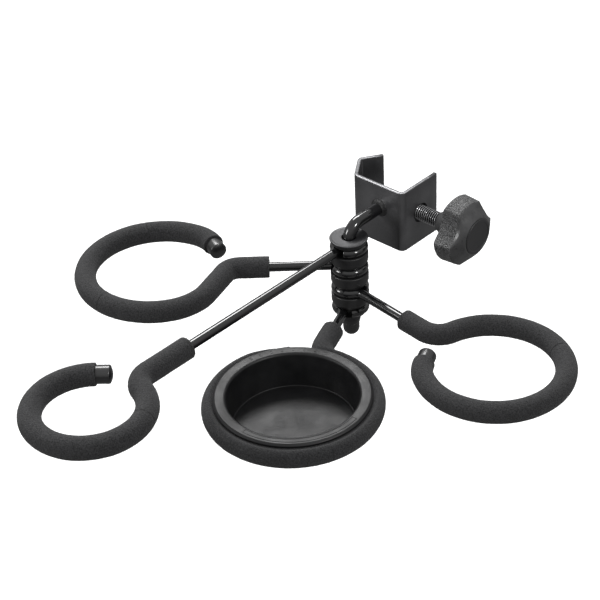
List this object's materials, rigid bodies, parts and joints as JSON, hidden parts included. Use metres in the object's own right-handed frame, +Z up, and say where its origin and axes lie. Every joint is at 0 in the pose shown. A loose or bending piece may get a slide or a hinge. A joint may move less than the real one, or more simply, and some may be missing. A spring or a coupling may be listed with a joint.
{
  "type": "mute holder for a music stand",
  "caption": "Clamp-on holder for a music stand tube: swinging wire arms end in foam-covered open rings for mutes, and the lowest ring carries a lift-out accessory cup.",
  "frame": {"origin": "on the axis of the nominal 25 mm stand tube held by the clamp, at the height of the clamp screw", "axes": "+Z up along the stand tube, +X along the clamp screw towards its knob, the pivot stack on the -Y side"},
  "size_m": [0.3143, 0.324, 0.0975],
  "materials": {
    "bracket_black": "satin black powder coat",
    "gloss_black": "gloss black paint",
    "disc_grey": "dark satin grey",
    "spacer_grey": "matte dark grey",
    "dark_steel": "blackened steel",
    "cap_black": "gloss black",
    "foam": "matte closed-cell foam, fine grain",
    "cup_black": "satin black",
    "screw_black": "black oxide",
    "knob_grey": "textured dark grey",
    "badge_grey": "smooth dark grey",
    "pad_rubber": "matte black"
  },
  "bodies": {
    "frame": {"clamp_plate": "bracket_black", "clamp_nut": "bracket_black", "pivot_shaft": "gloss_black", "shaft_weld": "gloss_black", "stop_disc": "disc_grey", "top_washer": "spacer_grey", "spacer_1": "spacer_grey", "spacer_2": "spacer_grey", "spacer_3": "spacer_grey", "bottom_seat": "spacer_grey", "spring_washer": "dark_steel", "collar_nut": "dark_steel", "end_cap": "cap_black"},
    "long_arm": {"rod_long": "gloss_black", "foam_neck_long": "foam", "foam_ring_long": "foam", "tip_cap_long": "cap_black"},
    "left_arm": {"rod_left": "gloss_black", "foam_neck_left": "foam", "foam_ring_left": "foam", "tip_cap_left": "cap_black"},
    "right_arm": {"rod_right": "gloss_black", "foam_neck_right": "foam", "foam_ring_right": "foam", "tip_cap_right": "cap_black"},
    "tray_arm": {"rod_tray": "gloss_black", "foam_neck_tray": "foam", "foam_ring_tray": "foam", "tip_cap_tray": "cap_black"},
    "cup": {"tray_cup": "cup_black"},
    "pad": {"pressure_pad": "screw_black", "pad_rubber": "pad_rubber"},
    "screw": {"clamp_screw": "screw_black", "knob": "knob_grey", "knob_badge": "badge_grey"}
  },
  "joints": [
    {"name": "long_swing", "type": "hinge", "parent": "frame", "child": "long_arm", "pos_m": [0.0145, -0.0475, 0], "axis": [0, 0, 1], "range_deg": [-130, 100]},
    {"name": "left_swing", "type": "hinge", "parent": "frame", "child": "left_arm", "pos_m": [0.0145, -0.0475, 0], "axis": [0, 0, 1], "range_deg": [-80, 63]},
    {"name": "right_swing", "type": "hinge", "parent": "frame", "child": "right_arm", "pos_m": [0.0145, -0.0475, 0], "axis": [0, 0, 1], "range_deg": [-70, 80]},
    {"name": "tray_swing", "type": "hinge", "parent": "frame", "child": "tray_arm", "pos_m": [0.0145, -0.0475, 0], "axis": [0, 0, 1], "range_deg": [-62, 47]},
    {"name": "cup_lift", "type": "slide", "parent": "tray_arm", "child": "cup", "axis": [0, 0, 1], "range_m": [0, 0.03]},
    {"name": "clamp_feed", "type": "slide", "parent": "frame", "child": "pad", "axis": [-1, 0, 0], "range_m": [0, 0.01351]},
    {"name": "clamp_turn", "type": "hinge", "parent": "pad", "child": "screw", "pos_m": [0.05, 0, 0], "axis": [-1, 0, 0], "range_deg": [0, 3240]}
  ],
  "couplings": [
    {"joint": "clamp_feed", "follows": "clamp_turn", "m_per_rad": 0.00023873}
  ]
}
